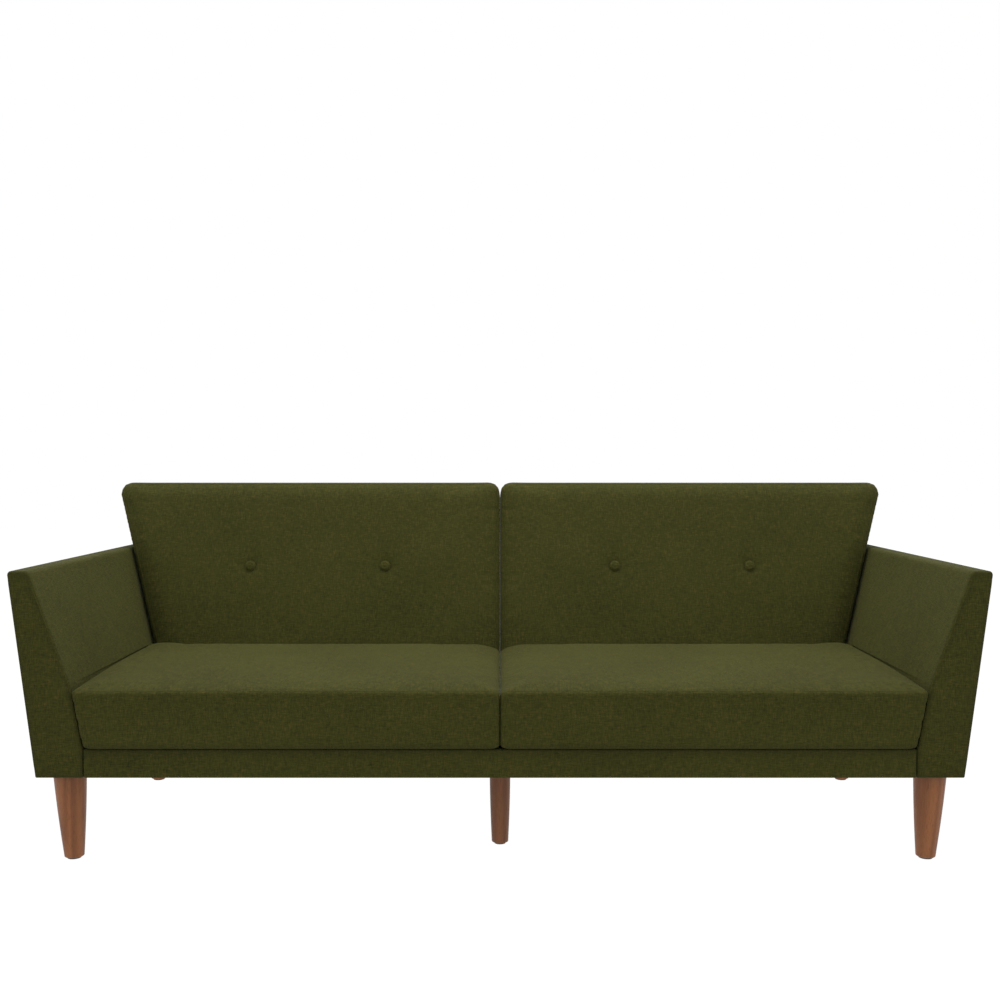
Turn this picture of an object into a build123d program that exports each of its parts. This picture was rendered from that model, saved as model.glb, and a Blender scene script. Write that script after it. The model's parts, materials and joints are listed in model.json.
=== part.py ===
from build123d import *
import math
import os

# Sofa bed with two folding backs. X runs left to right, Y front to rear, Z up; the floor is Z = 0
# and X = Y = 0 is the middle of the footprint. All sizes are in millimetres.

# Overall form
overall_width = 2120
overall_depth = 852
overall_height = 822
leg_height = 196
seat_height = 397
arm_height = 643
cushion_overhang = 12

# Arms: the outer face leans out, the inner face is upright beside the rails and leans out above them
arm_outer_lean = 58
arm_foot_width = 106
arm_top_width = 48
arm_seat_lean = 27
arm_rear_setback = 95
arm_panel_thickness = 14
arm_cover = 8
arm_base_height = 44
arm_post_width = 40
arm_post_cover = 10
arm_edge_radius = 12

# Base frame
rail_height = 58
rail_cover = 4
rail_gap = 3
front_rail_depth = 40
rear_rail_depth = 35
rear_rail_setback = 83
low_rail_height = 36
side_rail_width = 28
centre_rail_width = 44
rail_tail = 52
rail_lip = 16
dust_cover_thickness = 1.6

# Seat cushions and springs
seat_gap = 3
seat_side_gap = 3
seat_radius = 14
seat_lift = 4
spring_wire = 3.6
spring_swing = 22
spring_pitch = 38
spring_bend = 8
springs_per_seat = 5
spring_side_space = 60
spring_arm_space = 45
spring_lead = 18
spring_hook = 14
clip_size = (16, 20, 6)

# Backs: the hinge line lies inside the lower part of each back
recline = 20
release = 5
hinge_setback = 212
back_front = 90
back_rear = 25
back_drop = 50
back_gap = 4
back_side_gap = 4
back_flare_relief = 0.014
back_corner_radius = 31
back_top_radius = 20
back_bottom_radius = 4
back_hem_radius = 6
back_pocket_wall = 14
back_pocket_depth = 43
rear_cover_thickness = 3
rear_cover_inset = 4
timber = 28
top_rail_height = 40
top_rail_inset = 6
bottom_rail_start = 40
webbing_width = 50
webbing_thickness = 2
webbing_rows = 4
fold_angle = 70

# Buttons
button_spacing = 365
button_height = 275
button_diameter = 29
button_thickness = 7
button_rim = 1
button_round = 3.6

# Hinges
plate = 4
plate_gap = 1
hinge_disc = 33
hinge_eye = 20
hinge_well = 68
tooth_root = 27
tooth_pitch = 12.5
bracket_reach = 150
bracket_width = 24
pin_diameter = 10
pin_head = 18
pin_clearance = 0.2
pawl_radius = 54
pawl_angle = 262
pawl_tip_radius = 36
pawl_tip_angle = 228
pawl_pin = 6
pawl_eye = 7
pawl_tip = 2.2
pawl_spring_diameter = 12
flange_height = 32
flange_length = 84
flange_screw_inset = 14
flange_gap = 4
flange_lift = 2
post_width = 64
tooth_share = 0.7

# Legs and fasteners
leg_inset = 51
front_leg_setback = 71
rear_leg_setback = 695
leg_top_diameter = 71
leg_foot_diameter = 42
leg_lean = 8
centre_leg_setback = 167
centre_leg_top = 48
centre_leg_foot = 38
glide_height = 4
glide_margin = 6
leg_bolt = 8
leg_bolt_half = 30
arm_bolt = 8
arm_bolt_head = 14
arm_bolt_height = 5
arm_bolt_length = 84
screw = 5
screw_head = 9
screw_head_height = 3
screw_length = 20
hole_clearance = 0.2

# Places that follow from the sizes above
front = -overall_depth / 2 + cushion_overhang
arm_rake = math.atan(arm_rear_setback / (arm_height - leg_height))
rear = overall_depth / 2 + arm_edge_radius * (math.tan(arm_rake) + 1 / math.cos(arm_rake) - 1)
hinge_y = overall_depth / 2 - hinge_setback
hinge_z = seat_height - back_front + 1
seat_bottom = leg_height + rail_height + seat_lift
rail_bottom = leg_height + rail_cover
rail_top = leg_height + rail_height - rail_cover
low_rail_top = rail_bottom + low_rail_height
arm_splay = math.atan(arm_outer_lean / (arm_height - leg_height))
arm_outer_top = overall_width / 2 + arm_edge_radius * (math.tan(arm_splay) + 1 / math.cos(arm_splay) - 1)
arm_outer_foot = arm_outer_top - arm_outer_lean
arm_inner_foot = arm_outer_foot - arm_foot_width
arm_inner_top = arm_outer_top - arm_top_width
arm_inner_seat = arm_inner_foot + arm_seat_lean
arm_slope = (arm_inner_top - arm_inner_seat) / (arm_height - seat_height)
rail_half = arm_inner_foot - rail_gap
side_rail_inner = arm_inner_foot - side_rail_width
front_rail_rear = front + front_rail_depth + rail_cover
rear_rail_front = hinge_y - rear_rail_setback
rear_rail_rear = rear_rail_front + rear_rail_depth
rail_end = hinge_y + rail_tail
lean_sine = math.sin(math.radians(recline))
lean_cosine = math.cos(math.radians(recline))
back_crest = back_front - back_top_radius
back_rise = overall_height - hinge_z - back_top_radius - back_crest * lean_sine
back_top = back_rise / lean_cosine + back_top_radius
back_flare = arm_slope * lean_cosine - back_flare_relief
back_half = arm_inner_seat + arm_slope * (hinge_z + back_front * lean_sine - seat_height) - back_side_gap
stile_top = back_top - back_corner_radius - top_rail_height


def outline(points, radii):
    """A face with the given corners, each rounded by its own radius."""
    return make_face(FilletPolyline(*points, radius=radii, close=True))


def along_x(points, radii, start, end):
    """Extrude an outline drawn in (Y, Z) from X = start to X = end."""
    return extrude(Plane.YZ.offset(start) * outline(points, radii), end - start)


def along_y(points, radii, start, end):
    """Extrude an outline drawn in (X, Z) from Y = start to Y = end."""
    return extrude(Plane.XZ.offset(-end) * outline(points, radii), end - start)


def block(x, y, z):
    """A box between two values on each axis."""
    corner = Pos(x[0], y[0], z[0])
    return corner * Box(x[1] - x[0], y[1] - y[0], z[1] - z[0], align=(Align.MIN,) * 3)


def rod_x(diameter, start, end, y, z):
    """A round bar along X."""
    return Pos((start + end) / 2, y, z) * Rot(0, 90, 0) * Cylinder(diameter / 2, abs(end - start))


def rod_z(diameter, x, y, start, end):
    """A round bar along Z."""
    return Pos(x, y, (start + end) / 2) * Cylinder(diameter / 2, abs(end - start))


def mirrored(shape):
    """The left-hand twin of a right-hand shape."""
    return mirror(shape, about=Plane.YZ)


def group(shapes):
    """Several separate solids in one node."""
    return Compound([solid for shape in shapes for solid in shape.solids()])


def export_pair(shape, name):
    """Write a right-hand piece and its left-hand twin."""
    export_step(shape, f"parts/right_{name}.step")
    export_step(mirrored(shape), f"parts/left_{name}.step")


def arm_outer(z):
    """X of the arm's outer face at a height."""
    return arm_outer_foot + arm_outer_lean * (z - leg_height) / (arm_height - leg_height)


def arm_inner(z):
    """X of the arm's inner face at a height."""
    if z >= seat_height:
        return arm_inner_seat + arm_slope * (z - seat_height)
    return arm_inner_foot + arm_seat_lean * max(0, z - seat_bottom) / (seat_height - seat_bottom)


def arm_rear(z):
    """Y of the arm's raked rear edge at a height."""
    return rear - arm_rear_setback * (arm_height - z) / (arm_height - leg_height)


def back_side(u):
    """X of the back's side, u along the back from the hinge line."""
    return back_half + back_flare * u


def place_back(shape, angle=recline):
    """Lean a shape drawn upright about the hinge line, and put it at the hinge."""
    return Pos(0, hinge_y, hinge_z) * Rot(-angle, 0, 0) * shape


# Arms

def arm_panel():
    low = leg_height
    high = arm_height - arm_edge_radius
    outer = arm_cover
    inner = arm_cover + arm_panel_thickness
    corners = [
        (arm_outer(low) - inner, low),
        (arm_outer(low) - outer, low),
        (arm_outer(high) - outer, high),
        (arm_outer(high) - inner, high),
    ]
    sheet = along_y(corners, 0, front + arm_cover, rear)
    rake = [
        (front + arm_cover, low),
        (arm_rear(low) - arm_cover, low),
        (arm_rear(high) - arm_cover, high),
        (front + arm_cover, high),
    ]
    return sheet & along_x(rake, 0, 0, overall_width)


def arm_base():
    low = leg_height
    high = leg_height + arm_base_height
    inset = arm_cover + arm_panel_thickness
    corners = [
        (arm_inner_foot + arm_cover, low),
        (arm_outer(low) - inset, low),
        (arm_outer(high) - inset, high),
        (arm_inner_foot + arm_cover, high),
    ]
    return along_y(corners, 0, front + arm_cover, arm_rear(low) - 2 * arm_cover)


def arm_post():
    low = leg_height + arm_base_height
    high = arm_height - arm_edge_radius
    inset = arm_cover + arm_panel_thickness
    corners = [
        (arm_inner(low) + arm_post_cover, low),
        (arm_outer(low) - inset, low),
        (arm_outer(high) - inset, high),
        (arm_inner(high) + arm_post_cover, high),
        (arm_inner(seat_height) + arm_post_cover, seat_height),
    ]
    return along_y(corners, 0, front + arm_cover, front + arm_cover + arm_post_width)


def fold_relief():
    """The room that a back's flared side sweeps as it folds, as a tool to cut the arm."""
    reach = overall_height
    clear = back_side_gap
    wide = back_half + back_side_gap
    slope = back_flare
    depth = back_front + 2 * clear
    wedge = [(0, 0), (wide, 0), (wide + slope * reach, reach), (0, reach)]
    upright = place_back(along_y(wedge, 0, -depth, 0), recline - release)
    flat = place_back(along_y(wedge, 0, 0, back_rear + clear), recline + fold_angle)
    half_plane = Plane.XZ * make_face(Polyline(*wedge, close=True))
    swept = revolve(half_plane, Axis.X, -(release + fold_angle))
    cone = place_back(swept, recline - release)
    return [upright, flat, cone]


def arm_bolt_places():
    return [front + 100, front + 330, front + 520]


def arm_pad():
    section = [
        (arm_inner_foot, leg_height),
        (arm_outer_foot, leg_height),
        (arm_outer_top, arm_height),
        (arm_inner_top, arm_height),
        (arm_inner_seat, seat_height),
        (arm_inner_foot, seat_bottom),
    ]
    body = along_y(section, [0, 0, arm_edge_radius, arm_edge_radius, 0, 0], front, rear)
    profile = [
        (front, leg_height),
        (arm_rear(leg_height), leg_height),
        (rear, arm_height),
        (front, arm_height),
    ]
    body = body & along_x(profile, [0, 0, arm_edge_radius, arm_edge_radius], 0, overall_width)
    body = body - arm_panel() - arm_base() - arm_post()
    for tool in fold_relief():
        body = body - tool
    height = rail_bottom + low_rail_height / 2
    bolt_end = arm_inner_foot + 2 * arm_cover
    for y in arm_bolt_places():
        body = body - rod_x(arm_bolt + hole_clearance, side_rail_inner, bolt_end, y, height)
    return body


# Base frame

def front_rail():
    y = (front + rail_cover, front_rail_rear)
    return block((-rail_half, rail_half), y, (rail_bottom, rail_top))


def front_rail_cover():
    lip = front + rail_cover + rail_lip
    wrap = block((-rail_half, rail_half), (front, lip), (leg_height, rail_top + rail_cover))
    return wrap - front_rail()


def rear_rail():
    y = (rear_rail_front, rear_rail_rear)
    bar = block((-side_rail_inner, side_rail_inner), y, (rail_bottom, rail_top))
    return bar - centre_notch()


def centre_notch():
    """The lower half of the lap joint where the rear rail crosses the centre rail."""
    half = centre_rail_width / 2
    z = (rail_bottom, rail_bottom + low_rail_height / 2)
    return block((-half, half), (rear_rail_front, rear_rail_rear), z)


def centre_rail():
    half = centre_rail_width / 2
    bar = block((-half, half), (front_rail_rear, rail_end), (rail_bottom, low_rail_top))
    lap = (rear_rail_front, rear_rail_rear)
    bar = bar - block((-half, half), lap, (rail_bottom + low_rail_height / 2, low_rail_top))
    y = front + centre_leg_setback
    return bar - rod_z(leg_bolt + hole_clearance, 0, y, rail_bottom, rail_bottom + leg_bolt_half)


def side_rail():
    bar = block((side_rail_inner, arm_inner_foot), (front_rail_rear, rail_end), (rail_bottom, low_rail_top))
    height = rail_bottom + low_rail_height / 2
    for y in arm_bolt_places():
        bar = bar - rod_x(arm_bolt + hole_clearance, side_rail_inner, arm_inner_foot, y, height)
    return bar


def dust_cover():
    z = (rail_bottom - dust_cover_thickness, rail_bottom)
    y = (front + rail_cover + rail_lip + 2, rear_rail_rear)
    sheet = block((-side_rail_inner, side_rail_inner), y, z)
    return sheet - rod_z(centre_leg_top + 2, 0, front + centre_leg_setback, z[0], z[1])


# Seat springs: flat zigzag wires from the front rail to the rear rail

def spring_places():
    first = centre_rail_width / 2 + spring_swing + spring_side_space
    last = side_rail_inner - spring_swing - spring_arm_space
    step = (last - first) / (springs_per_seat - 1)
    return [first + step * index for index in range(springs_per_seat)]


def spring_ends():
    return front_rail_rear - clip_size[1] / 2, rear_rail_front + clip_size[1] / 2


def spring_wire_shape(x):
    start, end = spring_ends()
    turns = round((end - start - 2 * spring_lead) / spring_pitch)
    step = (end - start - 2 * spring_lead) / turns
    points = [(x, start), (x, start + spring_hook)]
    for index in range(turns):
        swing = spring_swing if index % 2 else -spring_swing
        y = start + spring_lead + step * (index + 0.5)
        points.append((x + swing, y - step / 4))
        points.append((x + swing, y + step / 4))
    points += [(x, end - spring_hook), (x, end)]
    path = Pos(0, 0, rail_top + clip_size[2] / 2) * FilletPolyline(*points, radius=spring_bend)
    section = Plane(origin=path @ 0, z_dir=path % 0) * Circle(spring_wire / 2)
    return sweep(section, path=path)


def spring_clip(x, y):
    """A folded plate over the end of a wire, open below for the wire."""
    width, length, height = clip_size
    z = (rail_top, rail_top + height)
    clip = block((x - width / 2, x + width / 2), (y - length / 2, y + length / 2), z)
    return clip - block((x - spring_wire, x + spring_wire), (y - length, y + length), (z[0], z[1] - 1))


# Seat cushions

def seat_cushion():
    foot = arm_inner_foot - seat_side_gap
    top = arm_inner_seat - seat_side_gap
    middle = seat_gap / 2
    section = [(middle, seat_bottom), (foot, seat_bottom), (top, seat_height), (middle, seat_height)]
    nose = front - cushion_overhang
    body = along_y(section, [6, 6, 8, 4], nose, rear)
    lean = math.radians(recline - release)
    cut = []
    for z in (seat_bottom, seat_height):
        u = (z - hinge_z - (back_front + 2 * back_side_gap) * math.sin(lean)) / math.cos(lean)
        cut.append(hinge_y - (back_front + 2 * back_side_gap) * math.cos(lean) + u * math.sin(lean))
    profile = [(nose, seat_bottom), (cut[0], seat_bottom), (cut[1], seat_height), (nose, seat_height)]
    return body & along_x(profile, [seat_radius, 4, seat_radius, seat_radius], 0, overall_width)


# Hinge places: each back has an outer hinge at the side rail and an inner one at the centre rail.
# A hinge is drawn from the rail's face, with side = -1 where the back lies towards the middle of the
# object and side = 1 where it lies away from it.

def hinge_sides():
    return {"outer": (side_rail_inner, -1), "inner": (centre_rail_width / 2, 1)}


def layer(face, side, start, end):
    """X range of a plate that lies between two distances from a rail's face."""
    return tuple(sorted((face + side * start, face + side * end)))


def pawl_pivot():
    angle = math.radians(pawl_angle)
    return hinge_y + pawl_radius * math.cos(angle), hinge_z + pawl_radius * math.sin(angle)


def pawl_nose():
    angle = math.radians(pawl_tip_angle)
    return hinge_y + pawl_tip_radius * math.cos(angle), hinge_z + pawl_tip_radius * math.sin(angle)


def flange_places():
    return [rear_rail_rear + flange_screw_inset, rear_rail_rear + flange_length - flange_screw_inset]


def seat_bracket(face, side):
    x = layer(face, side, 0, plate)
    start = rear_rail_rear + flange_gap
    low = rail_bottom + flange_lift
    flange = block(x, (start, start + flange_length), (low, low + flange_height))
    post = [
        (hinge_y - post_width / 2, low + flange_height),
        (hinge_y + post_width / 2, low + flange_height),
        (hinge_y + hinge_eye - 2, hinge_z),
        (hinge_y - hinge_eye + 2, hinge_z),
    ]
    body = flange + along_x(post, 0, x[0], x[1])
    body = body + rod_x(2 * hinge_eye, x[0], x[1], hinge_y, hinge_z)
    body = body - rod_x(pin_diameter + pin_clearance, x[0], x[1], hinge_y, hinge_z)
    body = body - rod_x(pawl_pin + pin_clearance, x[0], x[1], *pawl_pivot())
    for y in flange_places():
        body = body - rod_x(screw + hole_clearance, x[0], x[1], y, low + flange_height / 2)
    return body


def back_bracket(face, side):
    """Toothed disc with an arm that is bolted to the stile, drawn upright about the hinge line."""
    x = layer(face, side, plate + plate_gap, 2 * plate + plate_gap)
    body = rod_x(2 * hinge_disc, x[0], x[1], 0, 0)
    # Teeth on the part of the rim that passes the pawl, which lies this far from straight up
    pawl_turn = pawl_tip_angle - 90
    first = pawl_turn + recline - release
    count = int((fold_angle + release) / tooth_pitch) + 2
    for index in range(count):
        body = body - tooth_gap(x, math.radians(first + tooth_pitch * (index - 0.5)))
    arm = block(x, (-bracket_width / 2, bracket_width / 2), (0, bracket_reach))
    body = body + arm
    body = body - rod_x(pin_diameter + pin_clearance, x[0], x[1], 0, 0)
    for u in bracket_bolt_places():
        body = body - rod_x(screw + hole_clearance, x[0], x[1], 0, u)
    return body


def tooth_gap(x, angle):
    """A three-cornered notch in the disc's rim, at an angle from the arm towards the front."""
    half = math.radians(tooth_pitch / 2) * tooth_share
    rim = hinge_disc + plate / 2
    points = []
    for radius, turn in ((tooth_root, angle), (rim, angle - half), (rim, angle + half)):
        points.append((-radius * math.sin(turn), radius * math.cos(turn)))
    return along_x(points, 0, x[0], x[1])


def bracket_bolt_places():
    return [bracket_reach - 80, bracket_reach - 20]


def bracket_bolt(face, side, u):
    head = layer(face, side, plate, plate + plate_gap)
    shank = layer(face, side, plate, 2 * plate + plate_gap + screw_length)
    return rod_x(screw_head, head[0], head[1], 0, u) + rod_x(screw, shank[0], shank[1], 0, u)


def hinge_pin(face, side):
    head = layer(face, side, -plate, 0)
    shank = layer(face, side, -plate, 2 * plate + plate_gap)
    return rod_x(pin_head, *head, hinge_y, hinge_z) + rod_x(pin_diameter, *shank, hinge_y, hinge_z)


def pawl(face, side):
    x = layer(face, side, plate + plate_gap, 2 * plate + plate_gap)
    pivot = Vector(*pawl_pivot())
    nose = Vector(*pawl_nose())
    across = (nose - pivot).normalized().rotate(Axis.Z, 90)
    blade = [
        pivot + across * pawl_eye,
        pivot - across * pawl_eye,
        nose - across * pawl_tip,
        nose + across * pawl_tip,
    ]
    body = along_x([(point.X, point.Y) for point in blade], 0, x[0], x[1])
    body = body + rod_x(2 * pawl_eye, x[0], x[1], pivot.X, pivot.Y)
    return body - rod_x(pawl_pin + pin_clearance, x[0], x[1], pivot.X, pivot.Y)


def pawl_pin_shape(face, side):
    shank = layer(face, side, 0, 3 * plate + 2 * plate_gap)
    head = layer(face, side, 3 * plate + 2 * plate_gap, 3 * plate + 3 * plate_gap)
    return rod_x(pawl_pin, *shank, *pawl_pivot()) + rod_x(pin_diameter, *head, *pawl_pivot())


def pawl_spring(face, side):
    x = layer(face, side, 2 * plate + plate_gap + pin_clearance, 3 * plate + 2 * plate_gap - pin_clearance)
    ring = rod_x(pawl_spring_diameter, x[0], x[1], *pawl_pivot())
    return ring - rod_x(pawl_pin + 2 * pin_clearance, x[0], x[1], *pawl_pivot())


def bracket_screw(face, side, y):
    head = layer(face, side, plate, plate + screw_head_height)
    shank = layer(face, side, plate - screw_length, plate + screw_head_height)
    z = rail_bottom + 2 + flange_height / 2
    return rod_x(screw_head, head[0], head[1], y, z) + rod_x(screw, shank[0], shank[1], y, z)


def screw_hole(face, side, y):
    x = layer(face, side, -screw_length, 0)
    return rod_x(screw + hole_clearance, x[0], x[1], y, rail_bottom + 2 + flange_height / 2)


# Backs, drawn upright about the hinge line: Y = 0 and Z = 0 there, u is the height above it

def hinge_wells():
    """Room in the back's padding for the hinges, as tools."""
    tools = []
    for face, side in hinge_sides().values():
        x = layer(face, side, -2 * plate, 4 * plate + 2 * plate_gap)
        tools.append(rod_x(2 * hinge_well, x[0], x[1], 0, 0))
    return tools


def back_outline(inset):
    u = back_top - inset
    return [
        (back_gap / 2 + inset, -back_drop + inset),
        (back_side(-back_drop) - inset, -back_drop + inset),
        (back_side(u) - inset, u),
        (back_gap / 2 + inset, u),
    ]


def back_pocket():
    low = timber - back_drop
    high = stile_top + top_rail_height
    wall = back_pocket_wall
    points = [
        (centre_rail_width / 2, low),
        (back_side(low) - wall, low),
        (back_side(high) - wall, high),
        (centre_rail_width / 2, high),
    ]
    rear_face = back_rear - rear_cover_thickness
    return along_y(points, 0, rear_face - back_pocket_depth, rear_face)


def button_places():
    middle = (back_gap / 2 + back_side(button_height)) / 2
    return [middle - button_spacing / 2, middle + button_spacing / 2]


def back_cushion():
    rear_face = back_rear - rear_cover_thickness
    corners = [back_bottom_radius, back_bottom_radius, back_corner_radius, back_corner_radius]
    body = along_y(back_outline(0), corners, -back_front - timber, rear_face + timber)
    profile = [
        (-back_front, -back_drop),
        (rear_face, -back_drop),
        (rear_face, back_top),
        (-back_front, back_top),
    ]
    radii = [back_drop, 0, back_hem_radius, back_top_radius]
    body = body & along_x(profile, radii, 0, overall_width)
    body = body - back_pocket()
    for tool in hinge_wells():
        body = body - tool
    for x in button_places():
        body = body - button_seat(x)
    return place_back(body)


def button_seat(x):
    place = Pos(x, -back_front, button_height) * Rot(90, 0, 0)
    return place * Cylinder(button_diameter / 2 + button_rim, 2 * button_thickness)


def button(x):
    """Domed cap on a short shank that goes through the padding to the webbing."""
    top = Pos(x, -back_front + button_thickness - button_rim, button_height) * Rot(90, 0, 0)
    stand = (Align.CENTER, Align.CENTER, Align.MIN)
    cap = Cylinder(button_diameter / 2, button_thickness - button_rim, align=stand)
    cap = fillet(cap.edges().group_by(Axis.Z)[-1], button_round)
    return place_back(top * cap)


def rear_cover():
    rear_face = back_rear - rear_cover_thickness
    round_top = back_corner_radius - rear_cover_inset
    corners = [back_bottom_radius, back_bottom_radius, round_top, round_top]
    sheet = along_y(back_outline(rear_cover_inset), corners, rear_face, back_rear)
    for tool in hinge_wells():
        sheet = sheet - tool
    return place_back(sheet)


def frame_depth():
    rear_face = back_rear - rear_cover_thickness
    return rear_face - back_pocket_depth + webbing_thickness, rear_face


def outer_stile():
    face, side = hinge_sides()["outer"]
    inner, outer = layer(face, side, 2 * plate + plate_gap, 2 * plate + plate_gap + timber)
    head = back_side(stile_top) - back_pocket_wall - top_rail_inset
    points = [
        (inner, -hinge_eye),
        (outer, -hinge_eye),
        (outer, bracket_reach + 10),
        (head, stile_top),
        (head - timber, stile_top),
        (inner, bracket_reach + 10),
    ]
    return along_y(points, 0, *frame_depth())


def inner_stile():
    face, side = hinge_sides()["inner"]
    x = layer(face, side, 2 * plate + plate_gap, 2 * plate + plate_gap + timber)
    return block(x, frame_depth(), (-hinge_eye, stile_top))


def stile_holes(hinge):
    face, side = hinge_sides()[hinge]
    x = layer(face, side, 2 * plate + plate_gap, 2 * plate + plate_gap + screw_length)
    return [rod_x(screw + hole_clearance, x[0], x[1], 0, u) for u in bracket_bolt_places()]


def stiles():
    outer = outer_stile()
    inner = inner_stile()
    for tool in stile_holes("outer"):
        outer = outer - tool
    for tool in stile_holes("inner"):
        inner = inner - tool
    middle_x = sum(button_places()) / 2
    x = (middle_x - timber / 2, middle_x + timber / 2)
    middle = block(x, frame_depth(), (bottom_rail_start + top_rail_height, stile_top))
    return group([place_back(shape) for shape in (outer, inner, middle)])


def top_rail():
    high = stile_top + top_rail_height
    inner = layer(*hinge_sides()["inner"], 2 * plate + plate_gap, 3 * plate)[0]
    points = [
        (inner, stile_top),
        (back_side(stile_top) - back_pocket_wall - top_rail_inset, stile_top),
        (back_side(high) - back_pocket_wall - top_rail_inset, high),
        (inner, high),
    ]
    return place_back(along_y(points, 0, *frame_depth()))


def bottom_rail():
    inner = layer(*hinge_sides()["inner"], 2 * plate + plate_gap, 2 * plate + plate_gap + timber)[1]
    outer = layer(*hinge_sides()["outer"], 2 * plate + plate_gap, 2 * plate + plate_gap + timber)[0]
    z = (bottom_rail_start, bottom_rail_start + top_rail_height)
    return place_back(block((inner, outer), frame_depth(), z))


def webbing():
    """Straps across the front of the frame, from the inner stile to the outer one."""
    face = frame_depth()[0]
    low = bottom_rail_start + top_rail_height + webbing_width
    step = (stile_top - low) / webbing_rows
    inner = layer(*hinge_sides()["inner"], 2 * plate + plate_gap, 3 * plate)[0]
    outer = layer(*hinge_sides()["outer"], 2 * plate + plate_gap, 3 * plate)[1]
    straps = []
    for index in range(webbing_rows):
        z = low + step * index
        strap = block((inner, outer), (face - webbing_thickness, face), (z, z + webbing_width))
        straps.append(place_back(strap))
    return group(straps)


# Legs

def leg(x, y, top, foot, lean, height):
    upper = Plane(origin=(x, y, height)) * Circle(top / 2)
    lower = Plane(origin=(x - lean, y, glide_height)) * Circle(foot / 2)
    body = loft([lower, upper])
    hole = rod_z(leg_bolt + hole_clearance, x, y, height - leg_bolt_half, height)
    return body - hole


def leg_places():
    x = arm_outer_foot - leg_inset
    return {"front": (x, front + front_leg_setback), "rear": (x, front + rear_leg_setback)}


def glide(x, y, foot):
    return rod_z(foot - 2 * glide_margin, x, y, 0, glide_height)


def leg_bolt_shape(x, y, height):
    return rod_z(leg_bolt, x, y, height - leg_bolt_half, height + leg_bolt_half)


def arm_bolt_shape(y):
    z = rail_bottom + low_rail_height / 2
    head = rod_x(arm_bolt_head, side_rail_inner - arm_bolt_height, side_rail_inner, y, z)
    start = side_rail_inner - arm_bolt_height
    return head + rod_x(arm_bolt, start, start + arm_bolt_length, y, z)


def drilled_arm_base():
    body = arm_base()
    z = rail_bottom + low_rail_height / 2
    end = side_rail_inner - arm_bolt_height + arm_bolt_length
    for y in arm_bolt_places():
        body = body - rod_x(arm_bolt + hole_clearance, arm_inner_foot, end, y, z)
    for x, y in leg_places().values():
        body = body - rod_z(leg_bolt + hole_clearance, x, y, leg_height, leg_height + leg_bolt_half)
    return body


def write_arms():
    export_pair(arm_pad(), "arm_pad")
    export_pair(arm_panel(), "arm_panel")
    export_pair(drilled_arm_base(), "arm_base")
    export_pair(arm_post(), "arm_post")
    bolts = [arm_bolt_shape(y) for y in arm_bolt_places()]
    export_step(group(bolts + [mirrored(bolt) for bolt in bolts]), "parts/arm_bolts.step")


def write_base():
    export_step(front_rail(), "parts/front_rail.step")
    export_step(front_rail_cover(), "parts/front_rail_cover.step")
    export_step(rear_rail(), "parts/rear_rail.step")
    centre = centre_rail()
    side = side_rail()
    face, direction = hinge_sides()["inner"]
    for y in flange_places():
        hole = screw_hole(face, direction, y)
        centre = centre - hole - mirrored(hole)
    face, direction = hinge_sides()["outer"]
    for y in flange_places():
        side = side - screw_hole(face, direction, y)
    export_step(centre, "parts/centre_rail.step")
    export_pair(side, "side_rail")
    export_step(dust_cover(), "parts/dust_cover.step")
    export_pair(seat_cushion(), "seat_cushion")


def write_springs():
    springs = [spring_wire_shape(x) for x in spring_places()]
    export_step(group(springs + [mirrored(spring) for spring in springs]), "parts/seat_springs.step")
    clips = [spring_clip(x, y) for x in spring_places() for y in spring_ends()]
    export_step(group(clips + [mirrored(clip) for clip in clips]), "parts/spring_clips.step")


def write_legs():
    bolts = []
    glides = []
    for name, (x, y) in leg_places().items():
        shape = leg(x, y, leg_top_diameter, leg_foot_diameter, leg_lean, leg_height)
        export_step(shape, f"parts/{name}_right_leg.step")
        export_step(mirrored(shape), f"parts/{name}_left_leg.step")
        bolt = leg_bolt_shape(x, y, leg_height)
        foot = glide(x - leg_lean, y, leg_foot_diameter)
        bolts += [bolt, mirrored(bolt)]
        glides += [foot, mirrored(foot)]
    y = front + centre_leg_setback
    export_step(leg(0, y, centre_leg_top, centre_leg_foot, 0, rail_bottom), "parts/centre_leg.step")
    bolts.append(leg_bolt_shape(0, y, rail_bottom))
    glides.append(glide(0, y, centre_leg_foot))
    export_step(group(bolts), "parts/leg_bolts.step")
    export_step(group(glides), "parts/leg_glides.step")


def write_hinges():
    pins = []
    pawl_pins = []
    springs = []
    screws = []
    bolts = []
    for name, (face, side) in hinge_sides().items():
        export_pair(seat_bracket(face, side), f"{name}_seat_bracket")
        export_pair(place_back(back_bracket(face, side)), f"{name}_back_bracket")
        export_pair(pawl(face, side), f"{name}_pawl")
        pins.append(hinge_pin(face, side))
        pawl_pins.append(pawl_pin_shape(face, side))
        springs.append(pawl_spring(face, side))
        screws += [bracket_screw(face, side, y) for y in flange_places()]
        bolts += [place_back(bracket_bolt(face, side, u)) for u in bracket_bolt_places()]
    export_pair(group(bolts), "bracket_bolts")
    shared = {
        "hinge_pins": pins,
        "pawl_pins": pawl_pins,
        "pawl_springs": springs,
        "bracket_screws": screws,
    }
    for name, shapes in shared.items():
        export_step(group(shapes + [mirrored(shape) for shape in shapes]), f"parts/{name}.step")


def write_backs():
    export_pair(back_cushion(), "back_cushion")
    export_pair(rear_cover(), "rear_cover")
    export_pair(stiles(), "back_stiles")
    export_pair(top_rail(), "back_top_rail")
    export_pair(bottom_rail(), "back_bottom_rail")
    export_pair(webbing(), "back_webbing")
    export_pair(group([button(x) for x in button_places()]), "back_buttons")


os.makedirs("parts", exist_ok=True)
write_arms()
write_base()
write_springs()
write_legs()
write_hinges()
write_backs()
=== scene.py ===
import json
import math
import bpy
import bmesh
import numpy as np
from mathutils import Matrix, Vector
from mathutils.bvhtree import BVHTree


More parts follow.
